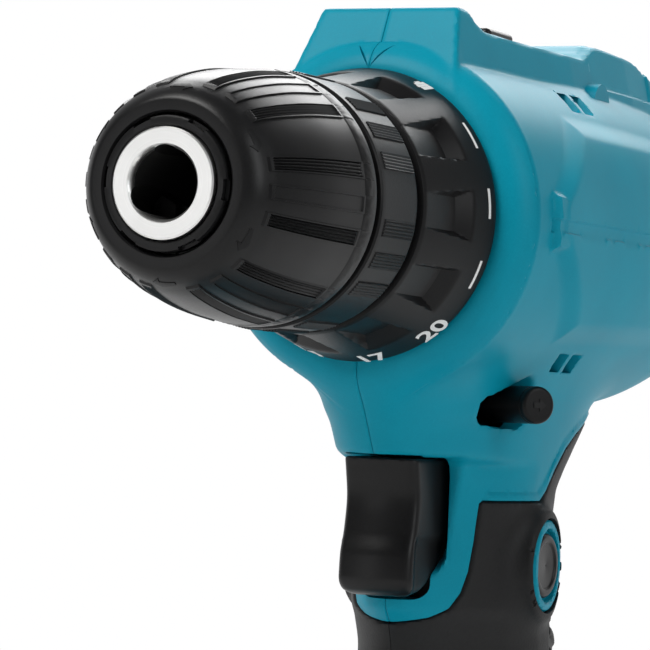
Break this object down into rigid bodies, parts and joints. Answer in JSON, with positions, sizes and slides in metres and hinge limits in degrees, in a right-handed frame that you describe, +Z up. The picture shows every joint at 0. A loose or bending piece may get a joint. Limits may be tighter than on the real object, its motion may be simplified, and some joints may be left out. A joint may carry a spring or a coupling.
{
  "type": "cordless drill",
  "caption": "Pistol-grip cordless drill driver with a keyless three-jaw chuck, torque clutch ring, two-speed planetary gearbox and a slide-on battery.",
  "frame": {"origin": "middle of the battery's flat base", "axes": "-Y along the spindle towards the chuck's nose, +Z up from the base, +X towards the operator's left hand"},
  "size_m": [0.079, 0.2034, 0.2338],
  "materials": {
    "teal_plastic": "fine matt texture",
    "black_plastic": "satin black glass-filled nylon",
    "rubber": "soft overmould",
    "steel": "ground steel",
    "chuck_steel": "bright turned steel",
    "cast_alloy": "as cast",
    "motor_can_steel": "zinc plated",
    "ferrite": "sintered magnet",
    "carbon": "pressed carbon",
    "laminations": "stacked iron sheets",
    "copper": "bare copper",
    "cell_wrap": "shrink wrapped cells",
    "lead_red": "wire insulation",
    "lead_black": "wire insulation"
  },
  "bodies": {
    "housing": {"housing_left": "teal_plastic", "housing_right": "teal_plastic", "grip_left": "rubber", "grip_right": "rubber", "grip_plug_left": "black_plastic", "grip_plug_right": "black_plastic", "housing_screw_1": "steel", "housing_screw_2": "steel", "housing_screw_3": "steel", "housing_screw_4": "steel", "housing_screw_5": "steel", "housing_screw_6": "steel", "housing_screw_7": "steel", "gear_case": "cast_alloy", "ring_gear_1": "steel", "clutch_plate": "steel", "clutch_spring": "steel", "spindle_bearing": "steel", "motor_can": "motor_can_steel", "motor_end_bell": "black_plastic", "magnet_1": "ferrite", "magnet_2": "ferrite", "brush_1": "carbon", "brush_2": "carbon", "switch_body": "black_plastic", "lead_red": "lead_red", "lead_black": "lead_black", "terminal_block": "black_plastic"},
    "spindle_unit": {"spindle": "steel", "chuck_body": "chuck_steel", "chuck_nose_collar": "black_plastic", "chuck_rear_ring": "black_plastic", "chuck_screw": "steel"},
    "chuck_sleeve": {"chuck_front_sleeve": "black_plastic", "chuck_nut": "steel"},
    "jaw_1": {"jaw_1": "steel"},
    "jaw_2": {"jaw_2": "steel"},
    "jaw_3": {"jaw_3": "steel"},
    "first_carrier": {"carrier_1": "steel"},
    "rotor": {"rotor_shaft": "steel", "rotor_core": "laminations", "commutator": "copper", "cooling_fan": "black_plastic"},
    "torque_ring": {"torque_ring": "black_plastic"},
    "clutch_nut": {"clutch_nut": "steel"},
    "speed_selector": {"speed_selector": "black_plastic", "shift_fork": "steel", "ring_gear_2": "steel"},
    "trigger": {"trigger": "black_plastic"},
    "direction_lever": {"direction_lever": "black_plastic"},
    "battery": {"battery_top": "black_plastic", "battery_tray": "black_plastic", "battery_cells": "cell_wrap"},
    "battery_latch": {"battery_latch": "black_plastic"},
    "planet_1_1": {"planet_1_1": "steel"},
    "planet_1_2": {"planet_1_2": "steel"},
    "planet_1_3": {"planet_1_3": "steel"},
    "planet_2_1": {"planet_2_1": "steel"},
    "planet_2_2": {"planet_2_2": "steel"},
    "planet_2_3": {"planet_2_3": "steel"}
  },
  "joints": [
    {"name": "spindle_spin", "type": "hinge", "parent": "housing", "child": "spindle_unit", "pos_m": [0, -0.045, 0.195], "axis": [0, -1, 0], "continuous": true},
    {"name": "first_carrier_spin", "type": "hinge", "parent": "housing", "child": "first_carrier", "pos_m": [0, -0.045, 0.195], "axis": [0, -1, 0], "continuous": true},
    {"name": "rotor_spin", "type": "hinge", "parent": "housing", "child": "rotor", "pos_m": [0, -0.045, 0.195], "axis": [0, -1, 0], "continuous": true},
    {"name": "planet_1_1_spin", "type": "hinge", "parent": "first_carrier", "child": "planet_1_1", "pos_m": [0, -0.00425, 0.2055], "axis": [0, -1, 0], "continuous": true},
    {"name": "planet_1_2_spin", "type": "hinge", "parent": "first_carrier", "child": "planet_1_2", "pos_m": [-0.00909, -0.00425, 0.18975], "axis": [0, -1, 0], "continuous": true},
    {"name": "planet_1_3_spin", "type": "hinge", "parent": "first_carrier", "child": "planet_1_3", "pos_m": [0.00909, -0.00425, 0.18975], "axis": [0, -1, 0], "continuous": true},
    {"name": "planet_2_1_spin", "type": "hinge", "parent": "spindle_unit", "child": "planet_2_1", "pos_m": [0, -0.01925, 0.2055], "axis": [0, -1, 0], "continuous": true},
    {"name": "planet_2_2_spin", "type": "hinge", "parent": "spindle_unit", "child": "planet_2_2", "pos_m": [-0.00909, -0.01925, 0.18975], "axis": [0, -1, 0], "continuous": true},
    {"name": "planet_2_3_spin", "type": "hinge", "parent": "spindle_unit", "child": "planet_2_3", "pos_m": [0.00909, -0.01925, 0.18975], "axis": [0, -1, 0], "continuous": true},
    {"name": "chuck_sleeve_turn", "type": "hinge", "parent": "spindle_unit", "child": "chuck_sleeve", "pos_m": [0, -0.105, 0.195], "axis": [0, 1, 0], "range_deg": [0, 1980]},
    {"name": "jaw_1_slide", "type": "slide", "parent": "spindle_unit", "child": "jaw_1", "axis": [0, -0.9636, -0.2672], "range_m": [0, 0.0175]},
    {"name": "jaw_2_slide", "type": "slide", "parent": "spindle_unit", "child": "jaw_2", "axis": [0.2314, -0.9636, 0.1336], "range_m": [0, 0.0175]},
    {"name": "jaw_3_slide", "type": "slide", "parent": "spindle_unit", "child": "jaw_3", "axis": [-0.2314, -0.9636, 0.1336], "range_m": [0, 0.0175]},
    {"name": "torque_ring_turn", "type": "hinge", "parent": "housing", "child": "torque_ring", "pos_m": [0, -0.057, 0.195], "axis": [0, -1, 0], "range_deg": [0, 290]},
    {"name": "clutch_nut_slide", "type": "slide", "parent": "housing", "child": "clutch_nut", "axis": [0, 1, 0], "range_m": [0, 0.0041], "deforming": ["clutch_spring"]},
    {"name": "speed_selector_slide", "type": "slide", "parent": "housing", "child": "speed_selector", "axis": [0, 1, 0], "range_m": [0, 0.005]},
    {"name": "trigger_pull", "type": "slide", "parent": "housing", "child": "trigger", "axis": [0, 1, 0], "range_m": [0, 0.007], "stiffness_N_per_m": 600, "springref_m": -0.004},
    {"name": "direction_lever_slide", "type": "slide", "parent": "housing", "child": "direction_lever", "axis": [1, 0, 0], "range_m": [-0.007, 0]},
    {"name": "battery_slide", "type": "slide", "parent": "housing", "child": "battery", "axis": [0, -1, 0], "range_m": [0, 0.078]},
    {"name": "battery_latch_press", "type": "slide", "parent": "battery", "child": "battery_latch", "axis": [0, 0, -1], "range_m": [0, 0.0035], "stiffness_N_per_m": 800, "springref_m": -0.002}
  ],
  "couplings": [
    {"joint": "first_carrier_spin", "follows": "spindle_spin", "ratio": 5},
    {"joint": "rotor_spin", "follows": "spindle_spin", "ratio": 25},
    {"joint": "planet_1_1_spin", "follows": "spindle_spin", "ratio": -13.333},
    {"joint": "planet_2_1_spin", "follows": "spindle_spin", "ratio": -2.6667},
    {"joint": "jaw_1_slide", "follows": "chuck_sleeve_turn", "m_per_rad": 0.00050351},
    {"joint": "planet_1_2_spin", "follows": "spindle_spin", "ratio": -13.333},
    {"joint": "planet_2_2_spin", "follows": "spindle_spin", "ratio": -2.6667},
    {"joint": "jaw_2_slide", "follows": "chuck_sleeve_turn", "m_per_rad": 0.00050351},
    {"joint": "planet_1_3_spin", "follows": "spindle_spin", "ratio": -13.333},
    {"joint": "planet_2_3_spin", "follows": "spindle_spin", "ratio": -2.6667},
    {"joint": "jaw_3_slide", "follows": "chuck_sleeve_turn", "m_per_rad": 0.00050351},
    {"joint": "clutch_nut_slide", "follows": "torque_ring_turn", "m_per_rad": 0.00079029}
  ]
}
